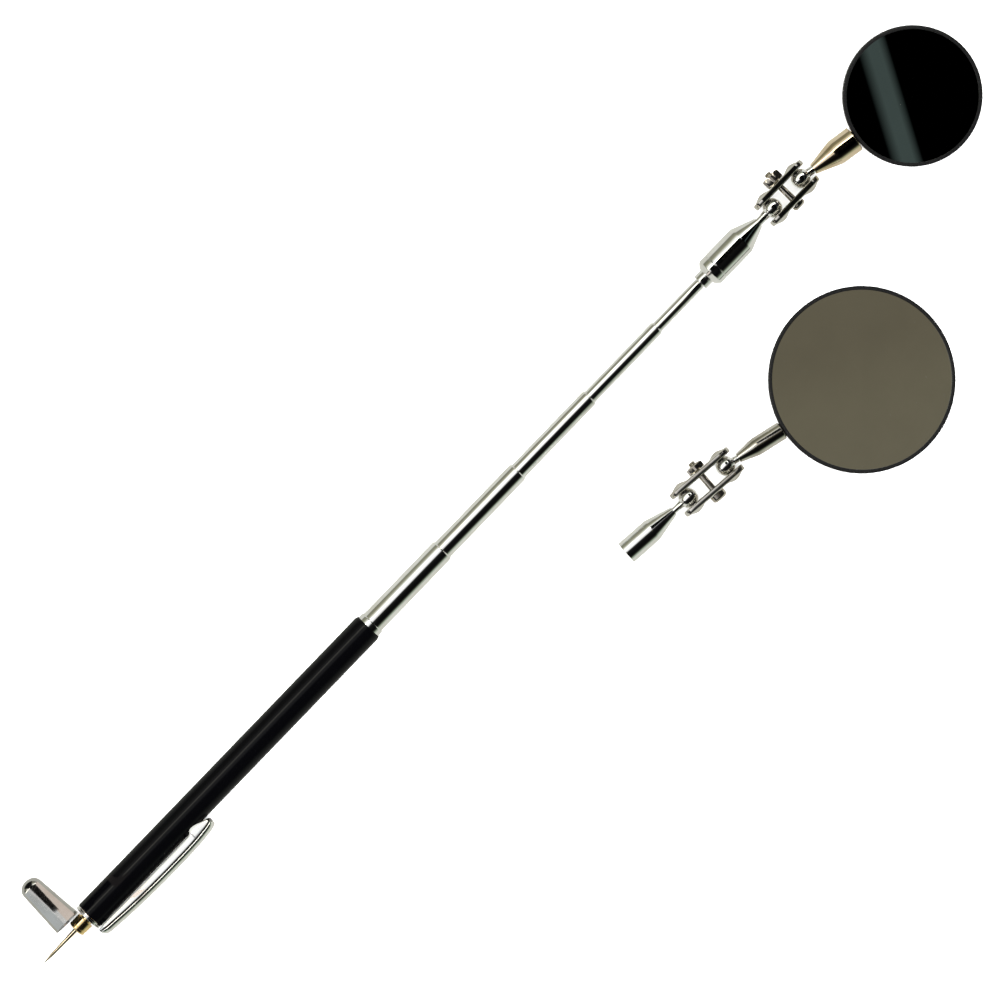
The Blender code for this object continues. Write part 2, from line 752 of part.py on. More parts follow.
def main():
    for old in list(bpy.data.objects):
        bpy.data.objects.remove(old)
    layout = place("layout", None, None)
    tool = place("tool", None, layout, (0, 0, BARREL_R))
    make_barrel(tool)
    make_ferrule(tool)
    make_rear(tool)
    make_clip(tool)
    make_mast(tool)
    make_tip(tool)
    make_cap(layout)
    for head in (SMALL_HEAD, LARGE_HEAD):
        make_head(head, layout)
    centre_on_origin(layout)


main()
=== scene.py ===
"""The looks of the telescoping pick-up tool: fine meshes, materials, studio and camera.

Each piece is built in the local frame of the joint or axis that it belongs to, with X along that axis.
Lengths inside those frames are in millimetres.
"""

import json
import math

import bmesh
import bpy
import numpy as np
from mathutils import Matrix, Vector


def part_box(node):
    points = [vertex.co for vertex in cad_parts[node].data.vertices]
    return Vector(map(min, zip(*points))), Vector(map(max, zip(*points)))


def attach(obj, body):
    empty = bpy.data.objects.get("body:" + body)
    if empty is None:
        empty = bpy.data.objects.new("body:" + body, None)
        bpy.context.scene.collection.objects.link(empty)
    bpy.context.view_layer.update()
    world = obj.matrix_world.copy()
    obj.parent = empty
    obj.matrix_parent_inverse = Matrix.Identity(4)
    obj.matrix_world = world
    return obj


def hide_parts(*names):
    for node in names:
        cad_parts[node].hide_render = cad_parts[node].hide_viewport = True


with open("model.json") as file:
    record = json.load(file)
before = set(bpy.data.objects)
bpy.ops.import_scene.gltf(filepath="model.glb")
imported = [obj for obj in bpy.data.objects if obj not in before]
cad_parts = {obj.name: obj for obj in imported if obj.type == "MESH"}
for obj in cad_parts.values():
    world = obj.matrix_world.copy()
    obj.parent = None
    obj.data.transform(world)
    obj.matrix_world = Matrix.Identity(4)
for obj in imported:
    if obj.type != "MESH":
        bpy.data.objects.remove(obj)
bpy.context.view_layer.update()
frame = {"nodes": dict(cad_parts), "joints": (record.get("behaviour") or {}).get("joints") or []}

MM = 0.001
SIDES = 80  # round a turned piece
RIM_SIDES = 200  # round a mirror
FILLET_STEPS = 4
GUARD = 0.04  # keeps a fillet's shading off the long faces beside it

CLIP_SHEET = 0.4
CLIP_FOLD_R = 2.1
CLIP_STATIONS = 160  # sections that the smooth clip is built from
CLIP_LINE_DEPTH = 0.11
CHEEK_FALL = 0.10  # how much narrower the clip is at its cheeks' edges
EDGE_CUT = 0.06  # the broken corner of those edges
FOLD_SHARE = 0.8  # the most of a cheek or of a half width that a fold may take
LINE_DEGREES = 17  # how far round the fold the pressed line runs
FOLD_DEGREES = (0, 4, 8, 12, 13, LINE_DEGREES, 21, 22, 27, 33, 40, 47, 54, 61, 68, 75, 82, 90)

CAP_DOME = 2.5
CAP_DOME_STEPS = 12
CAP_END_WALL = 0.8
CAP_ROOM = 0.03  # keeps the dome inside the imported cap
COLLET_HOLE_DEPTH = 4.0
NEEDLE_TAPER = 12.0  # from the point to the full thickness
MAGNET_GAP = 0.1  # behind the magnet in its cup

HEADS = ("small", "large")
SOCKET_CONE_AT = {"small": 9.6, "large": 9.2}  # from the socket's mouth
SOCKET_BORE = 7.3  # how deep its mouth is seen to be
STEM_CONE_END = {"small": 11.6, "large": 9.3}  # from the upper ball
STEM_BORE = 4.5
TONGUE_LENGTH = 8.0
TONGUE_ROOT = 1.0  # how far it reaches into the stem
TONGUE_BEVEL = 0.12

PLATE_SHEET = 1.6
PLATE_RINGS = 18  # of faces, from its middle line to its edge
PLATE_ROUND_STEPS = 36
PLATE_STRAIGHT_STEPS = 44
DOME_R = 2.9  # of the dome over each ball
EDGE_FROM = 0.94  # of the plate's half width, where its edge starts to round off
EDGE_DROP = 0.16  # of the sheet, at the edge
SHEAR_LAYERS = 6
SHEAR_INSET = 0.12
SHEAR_BULGE = 0.07
SHEAR_RIDGE = 0.045  # height of the marks round the edge

SCREW_R = 1.0
NUT_HOLE_R = 1.05
NUT_SIDES = 72
RIM_ROOM = 0.1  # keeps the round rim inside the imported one, which has fewer sides


# ---- Frames and measures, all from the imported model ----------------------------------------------
def joint(name):
    """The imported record's joint of that name."""
    return next(j for j in frame["joints"] if j["name"] == name)


def axes_at(origin, along, side):
    """A frame with X along one direction and Y as near as it can be to another."""
    x = Vector(along).normalized()
    z = x.cross(Vector(side)).normalized()
    y = z.cross(x)
    made = Matrix((x, y, z)).transposed().to_4x4()
    made.translation = Vector(origin)
    return made


def local_points(node, at):
    """A CAD node's vertices in a frame, in millimetres."""
    inverse = at.inverted()
    points = [inverse @ v.co for v in frame["nodes"][node].data.vertices]
    return np.array(points, float).reshape(-1, 3) / MM


def span(node, at):
    """Lowest and highest x of a CAD node in a frame."""
    x = local_points(node, at)[:, 0]
    return float(x.min()), float(x.max())


def radii(node, at, low=-1e9, high=1e9):
    """Smallest and largest radius about X of a CAD node's corners between two places along X."""
    points = local_points(node, at)
    inside = (points[:, 0] >= low - 1e-3) & (points[:, 0] <= high + 1e-3)
    radius = np.hypot(points[inside, 1], points[inside, 2])
    return float(radius.min()), float(radius.max())


def face_normal(node):
    """The upward normal of a flat round CAD node."""
    points = np.array([v.co for v in frame["nodes"][node].data.vertices], float)
    normal = np.linalg.svd(points - points.mean(0), full_matrices=False)[2][-1]
    return Vector(normal if normal[2] > 0 else -normal)


def tool_axes():
    """X along the mast, with the origin at the barrel's rear end."""
    low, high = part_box("barrel")
    return axes_at((low.x, (low.y + high.y) / 2, (low.z + high.z) / 2), (1, 0, 0), (0, 1, 0))


def head_axes(head):
    """A head's frames: along the socket at the lower ball, in the clamp, along the stem at the upper ball."""
    swing = Vector(joint(f"{head}_lower_swing")["axis"])
    swing = swing if swing.y > 0 else -swing
    lower = Vector(joint(f"{head}_lower_swing")["pos_m"])
    upper = Vector(joint(f"{head}_upper_swing")["pos_m"])
    stem = Vector(joint(f"{head}_mirror_twist")["axis"])
    socket = axes_at(lower, joint(f"{head}_lower_twist")["axis"], swing)
    clamp = axes_at((lower + upper) / 2, upper - lower, swing)
    mirror = axes_at(upper, stem, face_normal(f"{head}_mirror_glass").cross(stem))
    return {"socket": socket, "clamp": clamp, "mirror": mirror, "spacing": (upper - lower).length / MM}


# ---- Mesh tools ----------------------------------------------------------------------------------
def filleted(corners, steps=FILLET_STEPS):
    """A profile from (x, radius, fillet) corners. A fillet is a short curve between two guard points."""
    points = []
    last = len(corners) - 1
    for index, (x, radius, fillet) in enumerate(corners):
        corner = Vector((x, radius))
        if fillet == 0 or index in (0, last):
            points.append(tuple(corner))
            continue
        before = Vector(corners[index - 1][:2]) - corner
        after = Vector(corners[index + 1][:2]) - corner
        reach = min(fillet, before.length * 0.45, after.length * 0.45)
        start = corner + before.normalized() * reach
        end = corner + after.normalized() * reach
        guard = min(GUARD, reach * 0.1)
        points.append(tuple(start + before.normalized() * guard))
        for step in range(steps + 1):
            t = step / steps
            points.append(tuple(start * (1 - t) ** 2 + corner * 2 * t * (1 - t) + end * t**2))
        points.append(tuple(end + after.normalized() * guard))
    return points


def arc(centre_x, radius, start_deg, end_deg, steps):
    """Profile points of an arc about a centre on the axis, with angles measured from +X."""
    angles = np.radians(np.linspace(start_deg, end_deg, steps + 1))
    return [(centre_x + radius * math.cos(a), max(0.0, radius * math.sin(a))) for a in angles]


def bridge(bm, first, second):
    """Faces between two closed rows of vertices, either of which may be a single point."""
    steps = max(len(first), len(second))
    for k in range(steps):
        following = (k + 1) % steps
        corners = [
            first[k % len(first)],
            first[following % len(first)],
            second[following % len(second)],
            second[k % len(second)],
        ]
        bm.faces.new(dict.fromkeys(corners))


def finish_mesh(bm, name, sharp_deg=38):
    """A mesh in metres from a bmesh in millimetres, facing out, smooth but for its sharp edges."""
    bmesh.ops.recalc_face_normals(bm, faces=bm.faces)
    bmesh.ops.scale(bm, vec=(MM, MM, MM), verts=bm.verts)
    mesh = bpy.data.meshes.new(name)
    bm.to_mesh(mesh)
    bm.free()
    mesh.shade_smooth()
    mesh.set_sharp_from_angle(angle=math.radians(sharp_deg))
    return mesh


def turned(name, profile, sides=SIDES):
    """A body turned about X. A profile that starts on the axis is a solid, and any other is a closed ring."""
    bm = bmesh.new()
    rows = []
    for x, radius in profile:
        on_axis = radius < 1e-5
        angles = [0.0] if on_axis else [2 * math.pi * k / sides for k in range(sides)]
        rows.append([bm.verts.new((x, radius * math.cos(a), radius * math.sin(a))) for a in angles])
    for first, second in zip(rows, rows[1:]):
        bridge(bm, first, second)
    if len(rows[0]) > 1:
        bridge(bm, rows[-1], rows[0])
    return finish_mesh(bm, name)


def piece(name, mesh, finish, body, at, nodes):
    """A shown piece: its mesh in a frame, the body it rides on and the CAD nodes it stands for.

    The object itself stands level, and its mesh takes the frame's tilt, so that its own box fits it closely.
    """
    along = at.col[0].xyz
    if abs(along.z) > 0.7:
        level = axes_at(at.translation, (0, 0, 1), (0, 1, 0))
    else:
        level = axes_at(at.translation, (along.x, along.y, 0), (-along.y, along.x, 0))
    mesh.transform(level.inverted() @ at)
    made = bpy.data.objects.new(name, mesh)
    bpy.context.scene.collection.objects.link(made)
    made.matrix_world = level
    mesh.materials.clear()
    mesh.materials.append(finish)
    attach(made, body)
    if nodes:
        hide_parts(*nodes)
    return made


def turned_piece(node, corners, finish, body, at, sides=SIDES):
    """A turned piece that stands for one CAD node."""
    mesh = turned(f"{node}_fine", filleted(corners), sides)
    return piece(f"{node}_fine", mesh, finish, body, at, [node])


# ---- Material tools ------------------------------------------------------------------------------
def fill_ramp(node, stops):
    """Sets a colour ramp's (position, colour or grey) stops."""
    elements = node.color_ramp.elements
    while len(elements) < len(stops):
        elements.new(0.5)
    for element, (position, colour) in zip(elements, stops):
        element.position = position
        element.color = (*colour, 1.0) if isinstance(colour, tuple) else (colour, colour, colour, 1.0)


class Shading:
    """A node material with one Principled shader, and short ways to add texture nodes to it."""

    def __init__(self, name, **values):
        self.material = bpy.data.materials.new(name)
        self.material.use_nodes = True
        self.tree = self.material.node_tree
        self.shader = self.tree.nodes["Principled BSDF"]
        for socket, value in values.items():
            self.shader.inputs[socket.replace("_", " ")].default_value = value

    def node(self, kind, **inputs):
        made = self.tree.nodes.new(f"ShaderNode{kind}")
        for socket, value in inputs.items():
            self.connect(value, made.inputs[socket.replace("_", " ")])
        return made

    def connect(self, value, socket):
        if isinstance(value, bpy.types.NodeSocket):
            self.tree.links.new(value, socket)
        else:
            socket.default_value = value

    def place_mm(self, stretch=(1, 1, 1)):
        """Object coordinates in millimetres, with a stretch for each axis."""
        coordinates = self.node("TexCoord").outputs["Object"]
        scale = tuple(s / MM for s in stretch)
        return self.node("Mapping", Vector=coordinates, Scale=scale).outputs["Vector"]

    def noise(self, size_mm, detail=3.0, roughness=0.55, stretch=(1, 1, 1)):
        """Noise whose features are about that many millimetres across, longer where stretch is small."""
        vector = self.place_mm(stretch)
        made = self.node("TexNoise", Vector=vector, Scale=1 / size_mm, Detail=detail, Roughness=roughness)
        return made.outputs["Fac"]

    def ramp(self, value, *stops):
        """A colour ramp from (position, colour or grey) stops."""
        made = self.node("ValToRGB", Fac=value)
        fill_ramp(made, stops)
        return made.outputs["Color"]

    def spread(self, value, low, high):
        """A value from 0 to 1, spread between low and high."""
        made = self.node("MapRange", Value=value)
        made.inputs["To Min"].default_value = low
        made.inputs["To Max"].default_value = high
        return made.outputs["Result"]

    def math(self, operation, first, second):
        made = self.node("Math")
        made.operation = operation
        self.connect(first, made.inputs[0])
        self.connect(second, made.inputs[1])
        return made.outputs["Value"]

    def mix(self, share, first, second):
        made = self.node("Mix")
        made.data_type = "RGBA"
        for socket, value in (("Factor_Float", share), ("A_Color", first), ("B_Color", second)):
            self.connect(value, next(i for i in made.inputs if i.identifier == socket))
        return next(o for o in made.outputs if o.identifier == "Result_Color")

    def bump(self, height, depth_mm, strength=1.0):
        """Adds a bump of that depth to the shader."""
        made = self.node("Bump", Height=height, Distance=depth_mm * MM, Strength=strength)
        self.tree.links.new(made.outputs["Normal"], self.shader.inputs["Normal"])

    def colour(self, value):
        self.connect(value, self.shader.inputs["Base Color"])

    def roughness(self, value):
        self.connect(value, self.shader.inputs["Roughness"])


def plated_metal(name, bright, dull, smooth, rough, marks_mm, mark_depth, lengthwise=False):
    """Bright metal: faint tarnish, finger smudges, and fine marks that run round the piece or along it."""
    made = Shading(f"{name}_look", Metallic=1.0)
    tarnish = made.noise(6.0, detail=4.0)
    made.colour(made.mix(made.ramp(tarnish, (0.42, 0.0), (0.72, 1.0)), (*bright, 1), (*dull, 1)))
    stretch = (0.03, 1, 1) if lengthwise else (1, 0.04, 0.04)
    marks = made.noise(marks_mm, detail=2.0, stretch=stretch)
    smudges = made.noise(3.0, detail=5.0, roughness=0.65)
    worn = made.math("ADD", made.math("MULTIPLY", smudges, 0.7), made.math("MULTIPLY", marks, 0.3))
    made.roughness(made.spread(made.ramp(worn, (0.38, 0.0), (0.68, 1.0)), smooth, rough))
    made.bump(marks, mark_depth)
    return made.material


def black_lacquer():
    """Deep gloss black over metal, with faint orange peel, dust and rubbed patches."""
    made = Shading("black_lacquer_look", Metallic=0.0, Coat_Weight=0.0)
    made.shader.inputs["IOR"].default_value = 1.2
    speckle = made.noise(0.35, detail=2.0, roughness=0.7)
    dust = made.ramp(speckle, (0.70, 0.0), (0.78, 1.0))
    made.colour(made.mix(dust, (0.0006, 0.0006, 0.0008, 1), (0.004, 0.004, 0.004, 1)))
    rubbed = made.noise(9.0, detail=5.0, stretch=(0.25, 1, 1))
    made.roughness(made.spread(made.ramp(rubbed, (0.40, 0.0), (0.70, 1.0)), 0.07, 0.14))
    made.bump(made.noise(0.9, detail=2.0), 0.002)
    return made.material


def black_enamel():
    """Enamelled steel: slightly softer gloss than the barrel, with small chips of wear towards grey."""
    made = Shading("black_enamel_look", Metallic=0.0)
    made.shader.inputs["Specular IOR Level"].default_value = 0.15
    wear = made.ramp(made.noise(0.8, detail=6.0, roughness=0.7), (0.66, 0.0), (0.74, 1.0))
    made.colour(made.mix(wear, (0.004, 0.004, 0.004, 1), (0.045, 0.040, 0.036, 1)))
    made.roughness(made.spread(made.noise(2.0, detail=4.0), 0.16, 0.38))
    made.bump(made.noise(0.5, detail=3.0), 0.006)
    return made.material


def mirror_glass():
    """A silvered mirror with a slight tint, specks of dust and wipe marks."""
    made = Shading("mirror_glass_look", Metallic=1.0)
    specks = made.ramp(made.noise(0.55, detail=2.0, roughness=0.75), (0.735, 0.0), (0.765, 1.0))
    haze = made.ramp(made.noise(9.0, detail=4.0), (0.35, 0.0), (0.75, 1.0))
    clean = made.mix(haze, (0.90, 0.915, 0.90, 1), (0.86, 0.875, 0.86, 1))
    made.colour(made.mix(specks, clean, (0.97, 0.97, 0.95, 1)))
    wiped = made.spread(made.noise(4.0, detail=4.0, stretch=(1, 0.2, 1)), 0.004, 0.02)
    made.roughness(made.math("ADD", wiped, made.math("MULTIPLY", specks, 0.25)))
    return made.material


def magnet_grey():
    """Ground sintered magnet, dark and a little grainy."""
    made = Shading("magnet_look", Metallic=1.0)
    grain = made.noise(0.25, detail=5.0, roughness=0.7)
    made.colour(made.ramp(grain, (0.30, (0.10, 0.10, 0.11)), (0.70, (0.26, 0.26, 0.28))))
    made.roughness(made.spread(grain, 0.30, 0.55))
    made.bump(grain, 0.01)
    return made.material


LOOKS = {
    "chrome": plated_metal("chrome", (0.90, 0.905, 0.905), (0.80, 0.80, 0.78), 0.035, 0.11, 0.10, 0.0015),
    "tube": plated_metal("tube", (0.90, 0.905, 0.905), (0.80, 0.79, 0.76), 0.03, 0.10, 0.12, 0.0012, True),
    "brass": plated_metal("brass", (0.86, 0.66, 0.34), (0.62, 0.42, 0.20), 0.10, 0.26, 0.12, 0.004),
    "warm": plated_metal("warm", (0.86, 0.74, 0.56), (0.70, 0.56, 0.38), 0.05, 0.15, 0.12, 0.002),
    "steel": plated_metal("steel", (0.60, 0.56, 0.50), (0.40, 0.36, 0.30), 0.06, 0.16, 0.12, 0.003),
    "nickel": plated_metal("nickel", (0.66, 0.64, 0.60), (0.46, 0.43, 0.38), 0.05, 0.14, 0.12, 0.002),
    "satin": plated_metal("satin", (0.52, 0.52, 0.51), (0.46, 0.45, 0.43), 0.10, 0.20, 0.12, 0.001),
    "lacquer": black_lacquer(),
    "enamel": black_enamel(),
    "mirror": mirror_glass(),
    "magnet": magnet_grey(),
}


# ---- Handle --------------------------------------------------------------------------------------
def make_barrel(at):
    low, high = span("barrel", at)
    bore, outer = radii("barrel", at)
    corners = [
        (low, bore, 0),
        (low, outer, 0.25),
        (high - 0.75, outer, 0.45),
        (high - 0.15, outer - 0.22, 0.2),
        (high, outer - 0.34, 0.04),
        (high, bore, 0),
    ]
    turned_piece("barrel", corners, LOOKS["lacquer"], "handle", at, sides=120)


def make_ferrule(at):
    low, high = span("front_ferrule", at)
    bore, outer = radii("front_ferrule", at)
    corners = [
        (low, bore, 0),
        (low, outer, 0.1),
        (high - 0.25, outer, 0.15),
        (high, bore + 0.06, 0.03),
        (high, bore, 0),
    ]
    turned_piece("front_ferrule", corners, LOOKS["chrome"], "handle", at)


def make_clip_ring(at):
    """The ring behind the barrel, with a groove between two rounded lands."""
    low, high = span("clip_ring", at)
    bore, outer = radii("clip_ring", at)
    middle = (low + high) / 2
    corners = [
        (low, bore, 0),
        (low, outer - 0.1, 0.2),
        (middle - 0.16, outer, 0.15),
        (middle - 0.05, outer - 0.3, 0.05),
        (middle + 0.08, outer - 0.3, 0.05),
        (middle + 0.14, outer, 0.12),
        (high, outer, 0.12),
        (high, bore, 0),
    ]
    turned_piece("clip_ring", corners, LOOKS["chrome"], "handle", at)


def make_collet(at):
    """The brass boss: a necked and shouldered turning with two fine grooves."""
    low, high = span("scriber_collet", at)
    outer = radii("scriber_collet", at)[1]
    shank = radii("scriber_collet", at, high - 0.1, high)[1]
    hole = radii("scriber_needle", at)[1] + 0.05
    face = span("clip_ring", at)[0] - 0.1
    corners = [
        (high, 0, 0),
        (high, shank, 0.2),
        (face, shank, 0.05),
        (face, outer - 0.6, 0.1),
        (face - 0.6, outer - 0.6, 0.1),
        (face - 0.6, outer, 0.15),
        (low + 1.25, outer, 0.08),
        (low + 1.13, outer - 0.14, 0.04),
        (low + 1.0, outer - 0.14, 0.04),
        (low + 0.88, outer, 0.08),
        (low + 0.3, outer, 0.25),
        (low, outer - 0.5, 0.15),
        (low, hole, 0.08),
        (low + COLLET_HOLE_DEPTH, hole, 0),
        (low + COLLET_HOLE_DEPTH, 0, 0),
    ]
    turned_piece("scriber_collet", corners, LOOKS["brass"], "handle", at)


def make_needle(at):
    """The scriber's steel point, with a long taper and a short one."""
    low, high = span("scriber_needle", at)
    radius = radii("scriber_needle", at)[1]
    corners = [
        (high, 0, 0),
        (high, radius, 0.1),
        (low + NEEDLE_TAPER, radius, 0.4),
        (low + 3.4, radius * 0.74, 1.2),
        (low + 0.12, 0.07, 0.05),
        (low, 0, 0),
    ]
    turned_piece("scriber_needle", corners, LOOKS["warm"], "handle", at, sides=40)


def smooth_curve(stations, count):
    """Rows of numbers along a smooth curve through stations, by Catmull-Rom interpolation of every column."""
    values = np.array(stations, float)
    padded = np.vstack([2 * values[0] - values[1], values, 2 * values[-1] - values[-2]])
    rows = []
    for share in np.linspace(0, len(values) - 1, count):
        index = min(int(share), len(values) - 2)
        t = share - index
        p0, p1, p2, p3 = padded[index : index + 4]
        square = 2 * p0 - 5 * p1 + 4 * p2 - p3
        cube = 3 * p1 - p0 - 3 * p2 + p3
        rows.append(0.5 * (2 * p1 + (p2 - p0) * t + square * t**2 + cube * t**3))
    return rows


def lower_hull(points):
    """The points, in order of x, that lie on the lower side of their convex hull."""
    hull = []
    for x, y in sorted(points):
        while len(hull) > 1:
            (x0, y0), (x1, y1) = hull[-2:]
            if (y1 - y0) * (x - x0) < (y - y0) * (x1 - x0):
                break
            hull.pop()
        hull.append((x, y))
    return np.array(hull).T


def clip_stations(at):
    """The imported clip's sections: x, the y of its back, its cheeks' edge and its web, and its half width.

    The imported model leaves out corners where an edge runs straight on, so these are read between the others.
    """
    points = local_points("pocket_clip", at)
    cheek_y = points[:, 1].min() + CLIP_FOLD_R + 0.5
    backs, cheeks, webs = [], [], []
    for x in sorted(set(np.round(points[:, 0], 1))):
        y, z = points[np.abs(points[:, 0] - x) < 0.06][:, 1:].T
        backs.append((x, y.min()))
        inside = y[(np.abs(z) < np.abs(z).max() - 0.35) & (y > y.min() + 0.3)]
        webs.append((x, inside.min() if len(inside) else y.min() + CLIP_SHEET))
        if y.max() > cheek_y:
            cheeks.append((x, y.max(), np.abs(z).max()))
    back_x, back_y = lower_hull(backs)
    cheek_x, edge_y, half = np.array(cheeks).T
    stations = []
    for x, web in webs:
        edge = np.interp(x, cheek_x, edge_y)
        back = np.interp(x, back_x, back_y)
        web = min(max(web, back + CLIP_SHEET), edge - 0.1)
        stations.append((x, back, edge, web, np.interp(x, cheek_x, half)))
    return stations


def fold(y, z, radius, side, line=0.0):
    """A rounded corner of the channel from cheek to back, as (y, z) points, with a pressed line that deep."""
    points = []
    for degrees in FOLD_DEGREES:
        reach = radius - (line if degrees == LINE_DEGREES else 0.0)
        a = math.radians(degrees)
        points.append((y + radius - reach * math.sin(a), side * (z - radius + reach * math.cos(a))))
    return points


def make_clip(at):
    """A folded channel with round corners, a line pressed along each fold, and cheeks that lean in."""
    bm = bmesh.new()
    rows = []
    for x, back, edge, web, half in smooth_curve(clip_stations(at), CLIP_STATIONS):
        inner = half - CLIP_SHEET
        brink = half - CHEEK_FALL
        outer_fold = min(CLIP_FOLD_R, FOLD_SHARE * (edge - back), FOLD_SHARE * half)
        inner_fold = min(CLIP_FOLD_R - CLIP_SHEET, FOLD_SHARE * (edge - web))
        corner = fold(back, half, outer_fold, 1, CLIP_LINE_DEPTH)
        outline = [(edge, brink - EDGE_CUT), (edge - EDGE_CUT, brink)]
        outline += corner
        outline += reversed([(y, -z) for y, z in corner])
        outline += [(edge - EDGE_CUT, -brink), (edge, EDGE_CUT - brink), (edge, -inner)]
        outline += fold(web, inner, inner_fold, -1)
        outline += reversed(fold(web, inner, inner_fold, 1))
        outline.append((edge, inner))
        rows.append([bm.verts.new((x, y, z)) for y, z in outline])
    for first, second in zip(rows, rows[1:]):
        bridge(bm, first, second)
    for row in (rows[0], rows[-1]):
        bm.faces.new(row)
    mesh = finish_mesh(bm, "pocket_clip_fine", sharp_deg=50)
    piece("pocket_clip_fine", mesh, LOOKS["tube"], "clip", at, ["pocket_clip"])


def make_cap():
    """The tapered cap: a straight skirt, a crisp shoulder and a polished dome."""
    mouth = Vector(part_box("scriber_cap")[0])
    corners = np.array([v.co for v in frame["nodes"]["scriber_cap"].data.vertices], float)
    near = corners[corners[:, 1] < mouth.y + 0.0006]
    far = corners[corners[:, 1] > corners[:, 1].max() - 0.0004]
    start = Vector(near.mean(0))
    at = axes_at(start, Vector(far.mean(0)) - start, (-1, 0, 0))
    low, high = span("scriber_cap", at)
    high -= CAP_ROOM
    bore, outer = radii("scriber_cap", at, low, low + 0.3)
    dome_low = high - CAP_DOME
    shoulder = radii("scriber_cap", at, dome_low - 0.2, dome_low + 0.2)[1]
    inside = [(high - CAP_END_WALL, 0, 0), (dome_low - 0.3, shoulder - 0.5, 0.5), (low, bore, 0.08)]
    outside = [(low, bore, 0), (low, outer, 0.12), (dome_low, shoulder, 0), (dome_low, shoulder, 0)]
    profile = filleted(inside) + filleted(outside)[1:]
    for step in range(1, CAP_DOME_STEPS + 1):
        a = math.radians(90 * step / CAP_DOME_STEPS)
        profile.append((dome_low + CAP_DOME * math.sin(a), max(0.0, (shoulder - 0.05) * math.cos(a))))
    mesh = turned("scriber_cap_fine", profile)
    piece("scriber_cap_fine", mesh, LOOKS["satin"], "cap", at, ["scriber_cap"])


# ---- Mast and tip --------------------------------------------------------------------------------
def make_mast(at):
    """Five tubes, with each front end turned in sharply onto the next tube."""
    for number in range(1, 6):
        node = f"mast_tube_{number}"
        low, high = span(node, at)
        outer = radii(node, at)[1]
        bore = radii(node, at, low, low + 0.1)[0]
        throat = radii(node, at, high - 0.1, high)[0]
        corners = [
            (low, bore, 0),
            (low, outer, 0.08),
            (high - 0.30, outer, 0.12),
            (high, throat + 0.07, 0.06),
            (high, throat, 0.02),
            (high - 0.8, throat, 0.05),
            (high - 1.2, bore, 0),
        ]
        turned_piece(node, corners, LOOKS["tube"], f"mast_{number}", at)


def make_tip(at):
    """Collar, magnet cup and magnet."""
    last_tube = span("mast_tube_5", at)[1]
    low, high = span("tip_collar", at)
    spigot = radii("tip_collar", at, low, low + 0.1)[1]
    outer = radii("tip_collar", at)[1]
    start = last_tube + 0.1
    corners = [
        (low, 0, 0),
        (low, spigot, 0.1),
        (start, spigot, 0),
        (start, outer, 0.22),
        (high - 0.7, outer, 0.08),
        (high - 0.62, outer - 0.12, 0.03),
        (high - 0.5, outer - 0.12, 0.03),
        (high - 0.42, outer, 0.06),
        (high, outer, 0.1),
        (high, 0, 0),
    ]
    turned_piece("tip_collar", corners, LOOKS["chrome"], "mast_5", at)

    low, high = span("magnet_cup", at)
    flange = radii("magnet_cup", at)[1]
    nose = radii("magnet_cup", at, high - 0.3, high - 0.1)[1]
    pocket = radii("magnet_cup", at, high - 0.05, high)[0]
    socket_low = span("small_socket", at)[0]
    shoulder = socket_low - 0.1
    magnet_low, magnet_high = span("pickup_magnet", at)
    rear = radii("magnet_cup", at, low, low + 0.1)[1]
    corners = [
        (low, 0, 0),
        (low, rear, 0.15),
        (low + 1.3, flange, 0.2),
        (shoulder, flange, 0.22),
        (shoulder, nose, 0.05),
        (high, nose, 0.2),
        (high, pocket, 0.05),
        (magnet_low - MAGNET_GAP, pocket, 0),
        (magnet_low - MAGNET_GAP, 0, 0),
    ]
    turned_piece("magnet_cup", corners, LOOKS["chrome"], "mast_5", at)
    magnet_r = radii("pickup_magnet", at)[1]
    corners = [
        (magnet_low, 0, 0),
        (magnet_low, magnet_r, 0.1),
        (magnet_high, magnet_r, 0.12),
        (magnet_high, 0, 0),
    ]
    turned_piece("pickup_magnet", corners, LOOKS["magnet"], "mast_5", at)


# ---- Mirror heads --------------------------------------------------------------------------------
def make_socket(head, at):
    """The socket, with a turned edge at its mouth and a crisp corner where its cone starts."""
    node = f"{head}_socket"
    low, high = span(node, at)
    outer = radii(node, at)[1]
    bore = radii(node, at, low, low + 0.1)[0]
    hole, nose = radii(node, at, high - 0.1, high)
    hole_end = span(f"{head}_lower_ball", at)[0] - 0.1
    cone = low + SOCKET_CONE_AT[head]
    corners = [
        (low + SOCKET_BORE, 0, 0),
        (low + SOCKET_BORE, bore, 0.2),
        (low, bore, 0.12),
        (low, outer, 0.18),
        (cone, outer, 0.25),
        (high, nose, 0.12),
        (high, hole, 0.03),
        (hole_end, hole, 0),
        (hole_end, 0, 0),
    ]
    turned_piece(node, corners, LOOKS["chrome"], f"{head}_head_socket", at)


def make_ball(head, which, at, stem_sign):
    """A ball with its stem, which has a small collar where it leaves the ball."""
    node = f"{head}_{which}_ball"
    radius = radii(node, at)[1]
    points = local_points(node, at)
    stem_end = points[:, 0].min() if stem_sign < 0 else points[:, 0].max()
    stem = radii(node, at, stem_end - 0.1, stem_end + 0.1)[1]
    start = math.degrees(math.asin((stem + 0.1) / radius))
    reach = abs(stem_end)
    ball = arc(0, radius, start, 180, 36)
    neck = ball[0][0]
    profile = filleted([(reach, 0, 0), (reach, stem, 0.15), (neck + 0.25, stem, 0.2), (neck, stem + 0.1, 0)])
    profile += ball[1:]
    if stem_sign < 0:
        profile = [(-x, r) for x, r in profile]
    body = f"{head}_{which}_swivel"
    piece(f"{node}_fine", turned(f"{node}_fine", profile), LOOKS["chrome"], body, at, [node])


